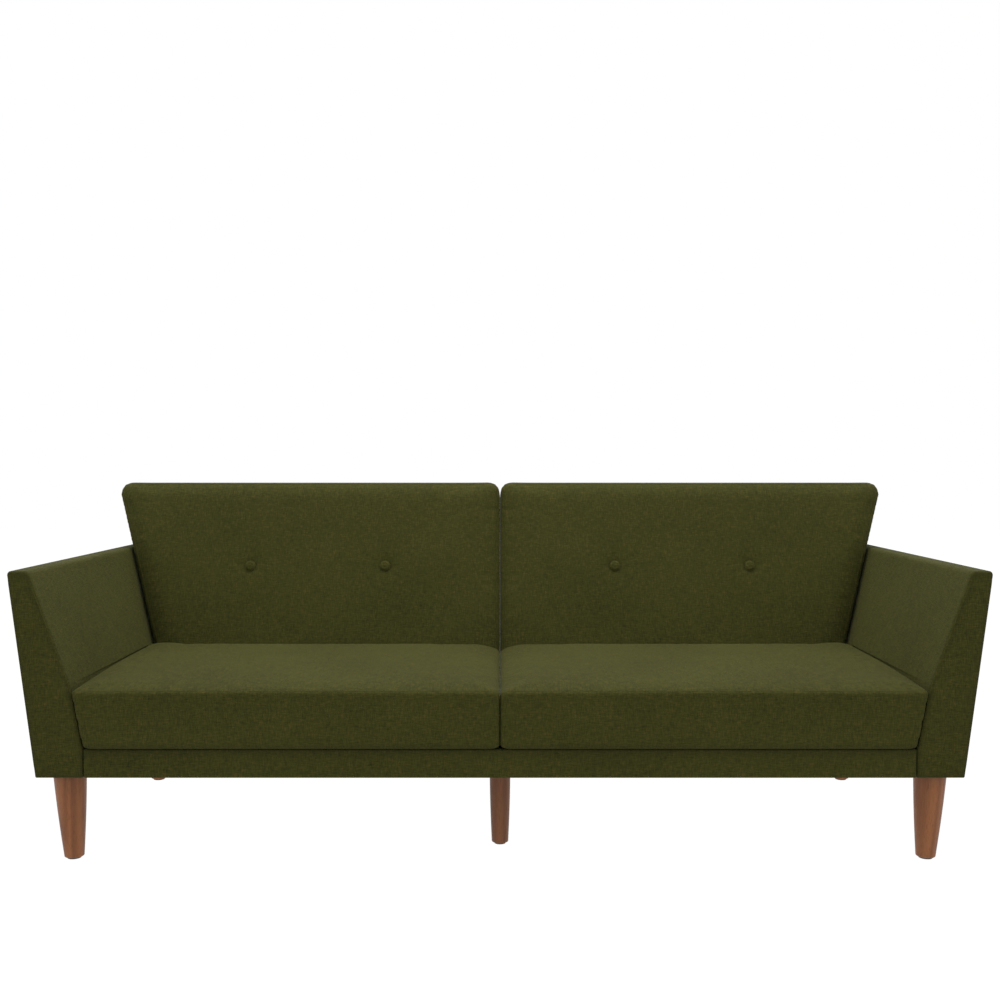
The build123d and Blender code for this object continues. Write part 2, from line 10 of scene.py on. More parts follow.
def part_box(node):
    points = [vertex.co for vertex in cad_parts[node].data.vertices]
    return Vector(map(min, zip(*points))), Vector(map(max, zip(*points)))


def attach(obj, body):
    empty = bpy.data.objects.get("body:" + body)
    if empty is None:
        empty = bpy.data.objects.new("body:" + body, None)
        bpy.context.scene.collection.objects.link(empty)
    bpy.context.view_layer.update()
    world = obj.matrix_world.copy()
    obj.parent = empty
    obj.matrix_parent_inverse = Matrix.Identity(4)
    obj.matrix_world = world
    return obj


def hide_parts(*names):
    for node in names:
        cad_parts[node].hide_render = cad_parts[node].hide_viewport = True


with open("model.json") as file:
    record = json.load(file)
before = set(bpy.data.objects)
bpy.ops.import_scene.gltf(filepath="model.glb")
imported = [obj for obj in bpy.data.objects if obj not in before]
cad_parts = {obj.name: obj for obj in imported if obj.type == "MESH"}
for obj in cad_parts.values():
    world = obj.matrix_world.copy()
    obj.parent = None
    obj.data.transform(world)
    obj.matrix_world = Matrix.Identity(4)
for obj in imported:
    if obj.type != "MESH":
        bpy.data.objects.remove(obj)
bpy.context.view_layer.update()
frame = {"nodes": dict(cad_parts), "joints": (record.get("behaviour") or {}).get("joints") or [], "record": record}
scene = bpy.context.scene
scene.view_settings.view_transform = "Standard"


# camera, in metres and degrees; distance is in front of the arm fronts
cameraPlan = {"distance": 2.41, "height": 0.873, "lens": 40.65, "sensor": 36.0, "pitch": 1.84}

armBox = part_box("right_arm_pad")
armFront = armBox[0].y


def makeCamera(plan):
    data = bpy.data.cameras.new("camera")
    data.lens = plan["lens"]
    data.sensor_width = plan["sensor"]
    cameraObject = bpy.data.objects.new("camera", data)
    cameraObject.location = (0.0, armFront - plan["distance"], plan["height"])
    cameraObject.rotation_euler = (math.radians(90 - plan["pitch"]), 0, 0)
    scene.collection.objects.link(cameraObject)
    scene.camera = cameraObject


makeCamera(cameraPlan)
print("camera placed")


# places that several pieces share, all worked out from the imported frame

recline = math.radians(20)
hinge = next(joint for joint in frame["joints"] if joint["name"] == "right_back_recline")["pos_m"]
hingePoint = np.array([0.0, hinge[1], hinge[2]])
forward = np.array([0.0, -math.cos(recline), math.sin(recline)])
upward = np.array([0.0, math.sin(recline), math.cos(recline)])
sideways = np.array([1.0, 0.0, 0.0])
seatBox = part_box("right_seat_cushion")
armShape = {"top": armBox[1].z, "foot": armBox[0].z, "rear": armBox[1].y, "rake": 0.095, "splay": 0.058}


def backPlace(points):
    # from (x, forward, up the back) to the row frame
    points = np.asarray(points, float)
    spread = points[..., 0:1] * sideways + points[..., 1:2] * forward + points[..., 2:3] * upward
    return hingePoint + spread


def backLocal(points):
    # from the row frame to (x, forward, up the back)
    offset = np.asarray(points, float) - hingePoint
    return np.stack([offset @ sideways, offset @ forward, offset @ upward], axis=-1)


# surfaces are rings of points joined by quads

def insetCorners(corners, inset):
    # each corner of a counter-clockwise outline moves in along its mitre by inset
    corners = np.asarray(corners, float)
    ahead = np.roll(corners, -1, axis=0) - corners
    ahead /= np.linalg.norm(ahead, axis=1, keepdims=True)
    normal = np.stack([-ahead[:, 1], ahead[:, 0]], axis=1)
    before = np.roll(normal, 1, axis=0)
    mitre = (normal + before) / (1 + np.sum(normal * before, axis=1, keepdims=True))
    return corners + inset * mitre


def roundedOutline(corners, radii, arcSteps=7, sideSteps=24):
    # straight runs joined by tangent arcs: centre + radius * (cos angle, sin angle) at each corner
    corners = np.asarray(corners, float)
    count = len(corners)
    arcs = []
    for index in range(count):
        point = corners[index]
        arriving = point - corners[index - 1]
        leaving = corners[(index + 1) % count] - point
        arriving = arriving / np.linalg.norm(arriving)
        leaving = leaving / np.linalg.norm(leaving)
        turn = math.atan2(arriving[0] * leaving[1] - arriving[1] * leaving[0], arriving @ leaving)
        radius = max(radii[index], 1e-4)
        start = point - arriving * radius * math.tan(turn / 2)
        centre = start + radius * np.array([-arriving[1], arriving[0]])
        first = math.atan2(start[1] - centre[1], start[0] - centre[0])
        angles = first + np.linspace(0, turn, arcSteps)
        arcs.append(centre + radius * np.stack([np.cos(angles), np.sin(angles)], axis=1))
    parts = []
    share = np.linspace(0, 1, sideSteps + 2)[1:-1, None]
    for index in range(count):
        following = arcs[(index + 1) % count]
        parts += [arcs[index], arcs[index][-1] * (1 - share) + following[0] * share]
    return np.concatenate(parts)


def edgeProfile(low, high, lowRadius, highRadius, steps=5, middle=8):
    # (level, inset) pairs: a quarter circle at each end and a straight run between them
    angle = np.linspace(0, math.pi / 2, steps)
    bottom = np.stack([low + lowRadius * (1 - np.cos(angle)), lowRadius * (1 - np.sin(angle))], axis=1)
    top = np.stack([high - highRadius * (1 - np.cos(angle)), highRadius * (1 - np.sin(angle))], axis=1)
    top = top[::-1]
    level = np.linspace(bottom[-1, 0], top[0, 0], middle + 2)[1:-1]
    return np.concatenate([bottom, np.stack([level, 0 * level], axis=1), top])


def makeMesh(name, points, faces):
    mesh = bpy.data.meshes.new(name)
    mesh.from_pydata(points.tolist(), [], faces)
    mesh.update()
    shaper = bmesh.new()
    shaper.from_mesh(mesh)
    bmesh.ops.recalc_face_normals(shaper, faces=shaper.faces)
    shaper.to_mesh(mesh)
    shaper.free()
    piece = bpy.data.objects.new(name, mesh)
    scene.collection.objects.link(piece)
    return piece


def ringStack(name, rings, capSteps=6):
    # rings[k, j] joined by quads; both ends close by rings that shrink to their middle
    rings = np.asarray(rings, float)
    share = np.linspace(0, 1, capSteps + 2)[1:-1, None, None]
    firstMiddle = rings[0].mean(axis=0)
    lastMiddle = rings[-1].mean(axis=0)
    startCap = firstMiddle + (rings[0] - firstMiddle) * share
    endCap = lastMiddle + (rings[-1] - lastMiddle) * share[::-1]
    stack = np.concatenate([startCap, rings, endCap])
    rows, columns = stack.shape[:2]
    row, column = np.meshgrid(np.arange(rows - 1), np.arange(columns), indexing="ij")
    nextColumn = (column + 1) % columns
    quads = np.stack(
        [row * columns + column, row * columns + nextColumn,
         (row + 1) * columns + nextColumn, (row + 1) * columns + column], axis=-1).reshape(-1, 4)
    total = rows * columns
    ring = np.arange(columns)
    startFan = np.stack([np.full(columns, total), (ring + 1) % columns, ring], axis=1)
    base = (rows - 1) * columns
    endFan = np.stack([np.full(columns, total + 1), base + ring, base + (ring + 1) % columns], axis=1)
    points = np.concatenate([stack.reshape(-1, 3), firstMiddle[None], lastMiddle[None]])
    return makeMesh(name, points, quads.tolist() + startFan.tolist() + endFan.tolist())


def coordinates(mesh):
    values = np.empty(len(mesh.vertices) * 3)
    mesh.vertices.foreach_get("co", values)
    return values.reshape(-1, 3)


def vertexNormals(mesh):
    values = np.empty(len(mesh.vertices) * 3)
    mesh.vertices.foreach_get("normal", values)
    return values.reshape(-1, 3)


def setCoordinates(mesh, values):
    mesh.vertices.foreach_set("co", np.ascontiguousarray(values, float).ravel())
    mesh.update()


def bakeModifiers(piece):
    graph = bpy.context.evaluated_depsgraph_get()
    mesh = bpy.data.meshes.new_from_object(piece.evaluated_get(graph), depsgraph=graph)
    piece.modifiers.clear()
    old = piece.data
    piece.data = mesh
    bpy.data.meshes.remove(old)


def smoothShade(piece):
    piece.data.polygons.foreach_set("use_smooth", np.ones(len(piece.data.polygons), bool))


def remesh(piece, voxel):
    modifier = piece.modifiers.new("remesh", "REMESH")
    modifier.mode = "VOXEL"
    modifier.voxel_size = voxel
    bakeModifiers(piece)


def puff(piece, plan, freedom):
    # a closed cloth swells under pressure, then no point keeps more than freedom(point) of its motion
    remesh(piece, plan["voxel"])
    start = coordinates(piece.data)
    modifier = piece.modifiers.new("cloth", "CLOTH")
    settings = modifier.settings
    settings.use_pressure = True
    settings.uniform_pressure_force = plan["pressure"]
    settings.quality = 5
    settings.mass = 0.3
    settings.tension_stiffness = plan["stiffness"]
    settings.compression_stiffness = plan["stiffness"]
    settings.bending_stiffness = plan["bending"]
    settings.effector_weights.gravity = 0
    modifier.collision_settings.use_collision = False
    modifier.point_cache.frame_start = 1
    modifier.point_cache.frame_end = plan["frames"]
    for number in range(1, plan["frames"] + 1):
        scene.frame_set(number)
    bakeModifiers(piece)
    scene.frame_set(1)
    motion = coordinates(piece.data) - start
    length = np.linalg.norm(motion, axis=1, keepdims=True)
    limit = freedom(start)[:, None]
    # soft limit: a long motion nears its limit and never passes it
    kept = limit * np.tanh(length / np.maximum(limit, 1e-6)) / np.maximum(length, 1e-9)
    motion *= np.where(length > 1e-9, kept, 0)
    setCoordinates(piece.data, start + motion)


def fitBox(points, low, high):
    # stretch each axis a little so the swollen shape fills its own space again
    first = points.min(axis=0)
    low = np.array(low)
    return low + (points - first) * (np.array(high) - low) / (points.max(axis=0) - first)


def pressFlat(points, normals, plane, share=0.6):
    # points whose surface faces sideways lie on a plane x = plane(points), as where two pads meet
    facing = np.abs(normals[:, 0])
    hold = np.clip((facing - share) / (1 - share), 0, 1)
    hold = hold * hold * (3 - 2 * hold)
    return points[:, 0] * (1 - hold) + plane * hold


def relax(piece, rounds):
    modifier = piece.modifiers.new("smooth", "SMOOTH")
    modifier.factor = 0.5
    modifier.iterations = rounds
    bakeModifiers(piece)


def mirrorPiece(piece, name):
    mesh = piece.data.copy()
    points = coordinates(mesh)
    points[:, 0] *= -1
    setCoordinates(mesh, points)
    mesh.flip_normals()
    twin = bpy.data.objects.new(name, mesh)
    scene.collection.objects.link(twin)
    return twin


def surfaceOf(piece):
    graph = bpy.context.evaluated_depsgraph_get()
    return BVHTree.FromObject(piece, graph)


def tube(name, path, normals, radius, sides=8, closed=True):
    # circle of a radius carried along a path, its axes the surface normal and normal x tangent
    tangent = np.roll(path, -1, axis=0) - np.roll(path, 1, axis=0)
    if not closed:
        tangent[0] = path[1] - path[0]
        tangent[-1] = path[-1] - path[-2]
    tangent /= np.linalg.norm(tangent, axis=1, keepdims=True)
    across = np.cross(normals, tangent)
    across /= np.linalg.norm(across, axis=1, keepdims=True)
    lift = np.cross(tangent, across)
    angle = np.linspace(0, 2 * math.pi, sides, endpoint=False)[None, :, None]
    rings = path[:, None] + radius * (np.cos(angle) * across[:, None] + np.sin(angle) * lift[:, None])
    if not closed:
        return ringStack(name, rings, capSteps=1)
    rows, columns = rings.shape[:2]
    row, column = np.meshgrid(np.arange(rows), np.arange(columns), indexing="ij")
    nextRow = (row + 1) % rows
    nextColumn = (column + 1) % columns
    quads = np.stack(
        [row * columns + column, row * columns + nextColumn,
         nextRow * columns + nextColumn, nextRow * columns + column], axis=-1).reshape(-1, 4)
    return makeMesh(name, rings.reshape(-1, 3), quads.tolist())


def evenPath(points, spacing):
    # the same closed line with equally spaced points
    loop = np.concatenate([points, points[:1]])
    steps = np.linalg.norm(np.diff(loop, axis=0), axis=1)
    travelled = np.concatenate([[0], np.cumsum(steps)])
    wanted = np.arange(0, travelled[-1] - spacing / 2, spacing)
    return np.stack([np.interp(wanted, travelled, loop[:, axis]) for axis in range(3)], axis=1)


def circleAt(place, radius):
    # ring of points on the front of a back, round a button; painted shade darkens the cloth along it, in the
    # button's dimple
    turn = np.linspace(0, 2 * math.pi, 24, endpoint=False)
    x, u, depth = place
    flat = np.stack([x + radius * np.cos(turn), 0 * turn + depth, u + radius * np.sin(turn)], axis=1)
    return backPlace(flat)


def seamOn(piece, name, path, radius, sink=0.0009):
    # a sewn edge: the path laid on the piece's surface, as a thin tube half sunk in it
    surface = surfaceOf(piece)
    hits = [surface.find_nearest(Vector(point)) for point in evenPath(path, 0.006)]
    places = np.array([hit[0] for hit in hits])
    normals = np.array([hit[1] for hit in hits])
    for _ in range(6):
        places = (np.roll(places, 1, axis=0) + 2 * places + np.roll(places, -1, axis=0)) / 4
        normals = (np.roll(normals, 1, axis=0) + 2 * normals + np.roll(normals, -1, axis=0)) / 4
    normals /= np.linalg.norm(normals, axis=1, keepdims=True)
    return tube(name, places - normals * sink, normals, radius)


def setCloth(piece, local=False, seams=(), width=0.007):
    # weave coordinates and the way each point faces, kept on the piece; a painted shade darkens the cloth near the
    # seams and other given lines, where shade falls in their creases
    mesh = piece.data
    points = coordinates(mesh)
    normals = np.abs(vertexNormals(mesh))
    if local:
        normals = np.abs(vertexNormals(mesh) @ np.stack([sideways, forward, upward]).T)
        points = backLocal(points)
    near = np.full(len(points), 1.0)
    for path in seams:
        route = evenPath(path, 0.01).astype(np.float32)
        own = coordinates(mesh).astype(np.float32)
        for block in np.array_split(np.arange(len(own)), max(1, len(own) // 8000)):
            gap = np.linalg.norm(own[block, None] - route[None], axis=2).min(axis=1)
            near[block] = np.minimum(near[block], gap)
    # painted shade: 1 on a seam or line, falling off over width, stored for the cloth colour
    creaseShade = np.exp(-(near / width) ** 2)
    for label, values in (("clothPlace", points), ("clothFacing", normals)):
        attribute = mesh.attributes.new(label, "FLOAT_VECTOR", "POINT")
        attribute.data.foreach_set("vector", np.ascontiguousarray(values, float).ravel())
    attribute = mesh.attributes.new("clothCreaseShade", "FLOAT", "POINT")
    attribute.data.foreach_set("value", creaseShade)


# shader helpers

class Link:
    # a socket that adds Math nodes when it stands in an expression
    def __init__(self, shader, socket):
        self.shader = shader
        self.socket = socket

    def __add__(self, other):
        return self.shader.maths("ADD", self, other)

    __radd__ = __add__

    def __sub__(self, other):
        return self.shader.maths("SUBTRACT", self, other)

    def __rsub__(self, other):
        return self.shader.maths("SUBTRACT", other, self)

    def __mul__(self, other):
        return self.shader.maths("MULTIPLY", self, other)

    __rmul__ = __mul__

    def __truediv__(self, other):
        return self.shader.maths("DIVIDE", self, other)

    def __pow__(self, other):
        return self.shader.maths("POWER", self, other)

    def __gt__(self, other):
        return self.shader.maths("GREATER_THAN", self, other)


class Shader:
    def __init__(self, name):
        self.material = bpy.data.materials.new(name)
        self.material.use_nodes = True
        self.tree = self.material.node_tree
        self.tree.nodes.clear()
        self.output = self.tree.nodes.new("ShaderNodeOutputMaterial")

    def node(self, kind, settings=None, output=0, **sockets):
        # kind's settings come first, then each socket gets its value or link
        made = self.tree.nodes.new(kind)
        for key, value in (settings or {}).items():
            setattr(made, key, value)
        for key, value in sockets.items():
            self.feed(made, key.replace("_", " "), value)
        return Link(self, made.outputs[output])

    def feed(self, made, key, value):
        socket = made.inputs[int(key[5:])] if key.startswith("input") else made.inputs[key]
        if isinstance(value, Link):
            self.tree.links.new(value.socket, socket)
        else:
            socket.default_value = value

    def maths(self, operation, first, second=0.0):
        return self.node("ShaderNodeMath", {"operation": operation}, input0=first, input1=second)

    def mixColour(self, share, first, second, blend="MIX"):
        made = self.tree.nodes.new("ShaderNodeMix")
        made.data_type = "RGBA"
        made.blend_type = blend
        for index, value in ((0, share), (6, first), (7, second)):
            self.feed(made, f"input{index}", value)
        return Link(self, made.outputs[2])

    def ramp(self, value, stops):
        made = self.tree.nodes.new("ShaderNodeMapRange")
        for key, number in zip(("From Min", "From Max", "To Min", "To Max"), stops):
            made.inputs[key].default_value = number
        self.feed(made, "Value", value)
        return Link(self, made.outputs[0])

    def vector(self, x, y, z=0.0):
        return self.node("ShaderNodeCombineXYZ", X=x, Y=y, Z=z)

    def split(self, source):
        made = self.tree.nodes.new("ShaderNodeSeparateXYZ")
        self.feed(made, "Vector", source)
        return [Link(self, socket) for socket in made.outputs]

    def noise(self, place, scale, detail=2.0, roughness=0.5):
        return self.node(
            "ShaderNodeTexNoise", Vector=place, Scale=scale, Detail=detail, Roughness=roughness)

    def bump(self, height, strength, distance):
        return self.node("ShaderNodeBump", Height=height, Strength=strength, Distance=distance)

    def finish(self, **sockets):
        made = self.tree.nodes.new("ShaderNodeBsdfPrincipled")
        for key, value in sockets.items():
            self.feed(made, key.replace("_", " "), value)
        self.tree.links.new(made.outputs[0], self.output.inputs[0])
        return self.material


# heathered linen-look weave: colours are the dark and the light yarns, lengths in metres
linenPlan = {
    "dark": (0.010, 0.0115, 0.0014, 1), "light": (0.057, 0.0568, 0.0120, 1),
    "fleck": (0.088, 0.046, 0.014, 1),
    "pitch": 0.0021, "slubLength": 0.013, "slubWidth": 0.0016, "roughness": 0.9, "sheen": 0.02, "bump": 0.5}


def linen(name, plan):
    shader = Shader(name)
    place = shader.node("ShaderNodeAttribute", {"attribute_name": "clothPlace"}, output=1)
    facing = shader.node("ShaderNodeAttribute", {"attribute_name": "clothFacing"}, output=1)
    creaseShade = shader.node("ShaderNodeAttribute", {"attribute_name": "clothCreaseShade"}, output=2)
    x, y, z = shader.split(place)
    faceX, faceY, faceZ = shader.split(facing)
    onTop = (faceZ > faceX) * (faceZ > faceY)
    onSide = (faceX > faceY) * (1 - onTop)
    across = x * (1 - onSide) + y * onSide
    along = z * (1 - onTop) + y * onTop
    # two yarn directions, each a streaky noise that is long one way and a yarn wide the other way
    weft = shader.noise(shader.vector(across / plan["slubLength"], along / plan["slubWidth"], 1.7), 1.0)
    warp = shader.noise(shader.vector(across / plan["slubWidth"], along / plan["slubLength"], 6.3), 1.0)
    turn = 2 * math.pi / plan["pitch"]
    weave = shader.maths("SINE", across * turn) * shader.maths("SINE", along * turn)
    cloud = shader.noise(shader.vector(across, along, 3.1), 5.0, 3.0)
    yarn = shader.ramp(weft * 0.5 + warp * 0.5, (0.32, 0.68, 0.0, 1.0))
    tone = yarn * 0.66 + shader.ramp(cloud, (0.3, 0.7, 0.0, 0.12)) + weave * 0.05 + 0.13
    colour = shader.mixColour(tone, plan["dark"], plan["light"])
    fleckMask = shader.ramp(weft * warp, (0.33, 0.42, 0.0, 0.45))
    colour = shader.mixColour(fleckMask, colour, plan["fleck"])
    # painted shade: up to 38% of the way to a near-black olive near seams, button rings and the rail's top edge
    colour = shader.mixColour(creaseShade * 0.38, colour, (0.016, 0.016, 0.005, 1))
    height = weave * 0.35 + weft * 0.4 + warp * 0.4
    normal = shader.bump(height, plan["bump"], 0.0009)
    roughness = shader.ramp(yarn, (0.0, 1.0, plan["roughness"] - 0.06, plan["roughness"] + 0.06))
    return shader.finish(
        Base_Color=colour, Roughness=roughness, Normal=normal, Sheen_Weight=plan["sheen"],
        Sheen_Roughness=0.45, Sheen_Tint=(0.75, 0.74, 0.5, 1), Specular_IOR_Level=0.08)


# stained wood: long grain up the leg, fine pores, satin coat; legs also carry painted shade in a per-point
# attribute
walnutPlan = {"pale": (0.252, 0.094, 0.030, 1), "dark": (0.140, 0.047, 0.014, 1), "roughness": 0.45}


def wood(name, plan, upright=True, scale=1.0, withPaintedShade=False):
    shader = Shader(name)
    x, y, z = shader.split(shader.node("ShaderNodeTexCoord", output=3))
    long, short = (z, x) if upright else (x, z)
    stretched = shader.vector(short * 34 * scale, y * 34 * scale, long * 2.6 * scale)
    bend = shader.noise(stretched, 1.0, 3.0)
    rings = shader.maths("SINE", (short * 260 + y * 190) * scale + bend * 11)
    pores = shader.noise(shader.vector(short * 900, y * 900, long * 45), 1.0, 2.0)
    grain = shader.ramp(rings, (-1.0, 1.0, 0.0, 0.5)) + shader.ramp(bend, (0.3, 0.7, 0.0, 0.5))
    colour = shader.mixColour(grain, plan["pale"], plan["dark"])
    poreMask = shader.ramp(pores, (0.56, 0.72, 0.0, 0.55))
    colour = shader.mixColour(poreMask, colour, tuple(value * 0.4 for value in plan["dark"][:3]) + (1,))
    if withPaintedShade:
        # painted shade: the attribute blends the colour towards near-black where the leg is in shade
        paintedLegShade = shader.node("ShaderNodeAttribute", {"attribute_name": "paintedLegShade"}, output=2)
        colour = shader.mixColour(paintedLegShade, (0.012, 0.005, 0.003, 1), colour)
    normal = shader.bump(pores * 0.6 + grain * 0.4, 0.25, 0.0004)
    roughness = shader.ramp(pores, (0.3, 0.7, plan["roughness"] - 0.07, plan["roughness"] + 0.12))
    return shader.finish(
        Base_Color=colour, Roughness=roughness, Normal=normal, Coat_Weight=0.05, Coat_Roughness=0.3,
        Specular_IOR_Level=0.25)


def metal(name, colour, roughness, metallic=1.0, scratch=0.25):
    shader = Shader(name)
    x, y, z = shader.split(shader.node("ShaderNodeTexCoord", output=3))
    grime = shader.noise(shader.vector(x, y, z), 70.0, 4.0)
    streak = shader.noise(shader.vector(x * 60, y * 900, z * 900), 1.0, 2.0)
    worn = shader.ramp(grime, (0.35, 0.7, 0.0, 0.5))
    tint = shader.mixColour(worn, colour, tuple(value * 0.62 for value in colour[:3]) + (1,))
    rough = shader.ramp(streak + worn, (0.3, 1.0, roughness - 0.08, roughness + 0.14))
    return shader.finish(
        Base_Color=tint, Metallic=metallic, Roughness=rough, Normal=shader.bump(streak, scratch, 0.0002))


def wovenStrap(name, colour, pitch):
    shader = Shader(name)
    x, y, z = shader.split(shader.node("ShaderNodeTexCoord", output=3))
    turn = 2 * math.pi / pitch
    rib = shader.maths("SINE", x * turn) * shader.maths("SINE", z * turn)
    fuzz = shader.noise(shader.vector(x, y, z), 900.0, 2.0)
    tone = shader.ramp(rib + fuzz, (-0.6, 1.5, 0.0, 1.0))
    tint = shader.mixColour(tone, tuple(value * 0.5 for value in colour[:3]) + (1,), colour)
    rough = shader.ramp(fuzz, (0.3, 0.7, 0.8, 0.98))
    return shader.finish(Base_Color=tint, Roughness=rough, Normal=shader.bump(rib + fuzz, 0.5, 0.0006))


def moulded(name, colour):
    shader = Shader(name)
    x, y, z = shader.split(shader.node("ShaderNodeTexCoord", output=3))
    spark = shader.noise(shader.vector(x, y, z), 1500.0, 2.0)
    tint = shader.mixColour(shader.ramp(spark, (0.4, 0.7, 0.0, 0.4)), colour, (0.07, 0.07, 0.07, 1))
    rough = shader.ramp(spark, (0.3, 0.7, 0.45, 0.65))
    return shader.finish(Base_Color=tint, Roughness=rough, Normal=shader.bump(spark, 0.3, 0.0002))


linenCloth = linen("linenCloth", linenPlan)
walnut = wood("walnutStainWithPaintedShade", walnutPlan, withPaintedShade=True)
pinePlan = {"pale": (0.66, 0.47, 0.28, 1), "dark": (0.46, 0.28, 0.14, 1), "roughness": 0.6}
plywoodPlan = {"pale": (0.55, 0.38, 0.22, 1), "dark": (0.38, 0.24, 0.13, 1), "roughness": 0.65}
pine = wood("planedPine", pinePlan, upright=False)
plywood = wood("plywood", plywoodPlan, upright=False, scale=0.6)
blackPlate = metal("blackPlate", (0.035, 0.035, 0.04, 1), 0.42, 0.2)
drawnWire = metal("drawnWire", (0.32, 0.32, 0.34, 1), 0.35)
zinc = metal("zinc", (0.56, 0.56, 0.58, 1), 0.3)
strapWeave = wovenStrap("strapWeave", (0.06, 0.06, 0.065, 1), 0.002)
lining = wovenStrap("lining", (0.03, 0.03, 0.032, 1), 0.003)
footPlastic = moulded("footPlastic", (0.02, 0.02, 0.02, 1))
slotMaterials = {
    "frame_timber": pine, "frame_plywood": plywood, "hinge_steel": blackPlate, "spring_steel": drawnWire,
    "fastener_steel": zinc, "webbing": strapWeave, "glide_plastic": footPlastic, "lining": lining,
    "leg_wood": walnut, "upholstery": linenCloth}


def dressFrame():
    # every carried-over node gets its slot's material
    for part in frame["record"]["subparts"]:
        node = frame["nodes"][part["node"]]
        node.data.materials.clear()
        node.data.materials.append(slotMaterials[part["material_slot"]])


dressFrame()
print("materials made")


def finishSoft(piece, body, node, local=False, seams=(), width=0.007):
    setCloth(piece, local, seams, width)
    smoothShade(piece)
    piece.data.materials.clear()
    piece.data.materials.append(linenCloth)
    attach(piece, body)
    if node:
        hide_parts(node)


def subdivide(piece):
    modifier = piece.modifiers.new("finish", "SUBSURF")
    modifier.levels = 1
    modifier.render_levels = 1


# seat cushions

seatPlan = {
    "voxel": 0.008, "pressure": 4.0, "frames": 20, "stiffness": 12.0, "bending": 0.4, "shrink": 0.002,
    "lowRadius": 0.014, "highRadius": 0.005, "cornerRadii": (0.006, 0.008, 0.010, 0.006),
    "swell": 0.008, "sideRoom": 0.0025, "frontRoom": 0.005, "rearRoom": 0.003, "crown": 0.014,
    "lean": 0.027, "rearLean": 0.0345, "sidePress": 0.0025, "middleGap": 0.00005, "seam": 0.0013}


def seatOutline(level, inset):
    # plan outline at a height: the outer side and the rear lean with the arm and the back
    low, high = seatBox
    rise = (level - low.z) / (high.z - low.z)
    outer = high.x - seatPlan["lean"] * (1 - rise)
    rear = high.y - seatPlan["rearLean"] * (1 - rise)
    shrink = seatPlan["shrink"]
    corners = [(low.x, low.y), (outer, low.y), (outer, rear), (low.x, rear)]
    corners = insetCorners(corners, inset + shrink)
    radii = [max(radius - inset * 0.5, 0.003) for radius in seatPlan["cornerRadii"]]
    flat = roundedOutline(corners, radii, sideSteps=60)
    return np.column_stack([flat, np.full(len(flat), level)])


def crownSeat(points):
    # z rises by crown * (1 - (1 - s)^16 + s^24 / 4) * (1 - (1 - t)^3) * height^2; s across, t back
    low, high = seatBox
    s = np.clip((points[:, 0] - low.x) / (high.x - low.x), 0, 1)
    t = np.clip((points[:, 1] - low.y) / (high.y - low.y), 0, 1)
    height = np.clip((points[:, 2] - low.z) / (high.z - low.z), 0, 1)
    result = points.copy()
    across = 1 - (1 - s) ** 16 + 0.25 * s ** 24
    result[:, 2] += seatPlan["crown"] * across * (1 - (1 - t) ** 3) * height ** 2
    return result


def makeSeat():
    low, high = seatBox
    shrink = seatPlan["shrink"]
    profile = edgeProfile(low.z, high.z - shrink, seatPlan["lowRadius"], seatPlan["highRadius"])
    seat = ringStack("rightSeat", [seatOutline(level, inset) for level, inset in profile], capSteps=30)

    def freedom(points):
        # most at the top, a little at the front, hardly any where it meets wood, arm, back or its twin
        limit = np.full(len(points), seatPlan["sideRoom"])
        top = points[:, 2] > high.z - 0.006
        limit = np.where(points[:, 1] < low.y + 0.006, seatPlan["frontRoom"], limit)
        limit = np.where(points[:, 1] > high.y - 0.04, seatPlan["rearRoom"], limit)
        limit = np.where(top, seatPlan["swell"], limit)
        return np.where(points[:, 2] < low.z + 0.004, 0.0008, limit)

    puff(seat, seatPlan, freedom)
    relax(seat, 1)
    points = fitBox(coordinates(seat.data), low, high)
    normals = vertexNormals(seat.data)
    rise = (points[:, 2] - low.z) / (high.z - low.z)
    outer = high.x + seatPlan["sidePress"] - seatPlan["lean"] * (1 - rise)
    plane = np.where(normals[:, 0] < 0, seatPlan["middleGap"], outer)
    points[:, 0] = pressFlat(points, normals, plane, 0.5)
    setCoordinates(seat.data, crownSeat(points))
    topSeam = crownSeat(seatOutline(high.z - 0.002, 0.0))
    lowSeam = seatOutline(low.z + 0.006, 0.004)
    return seat, [topSeam, lowSeam]


def addSeats():
    seat, seams = makeSeat()
    subdivide(seat)
    for side, sign in (("right", 1), ("left", -1)):
        piece = seat if sign > 0 else mirrorPiece(seat, "leftSeat")
        if sign < 0:
            subdivide(piece)
        routes = [route * (sign, 1, 1) for route in seams]
        finishSoft(piece, "base", f"{side}_seat_cushion", seams=routes)
        for label, route in zip(("Top", "Low"), routes):
            seam = seamOn(piece, f"{side}Seat{label}Seam", route, seatPlan["seam"])
            finishSoft(seam, "base", None)
    print("seat cushions done")


# folding backs, drawn as (x, forward, up the back) about the hinge line

backPlan = {
    "voxel": 0.008, "pressure": 4.0, "frames": 20, "stiffness": 12.0, "bending": 0.4, "shrink": 0.001,
    "front": 0.090, "rear": 0.022, "gap": 0.002, "half": 0.8983, "flare": 0.3153,
    "cornerRadius": 0.029, "frontRadius": 0.010, "rearRadius": 0.007,
    "crown": 0.009, "sideRoom": 0.002, "seam": 0.0016, "well": 0.068,
    "middleGap": 0.00005, "sidePress": 0.001,
    "dimple": 0.006, "dimpleSpread": 0.022, "buttonSpacing": 0.365, "buttonHeight": 0.275,
    "buttonRadius": 0.0145, "buttonLift": 0.0032, "plateRanges": ((0.850, 0.876), (0.014, 0.040))}

cushionPoints = backLocal(coordinates(frame["nodes"]["right_back_cushion"].data))
backPlan["top"] = float(cushionPoints[:, 2].max())
backPlan["drop"] = float(-cushionPoints[:, 2].min())


def backSide(u):
    return backPlan["half"] + backPlan["flare"] * u


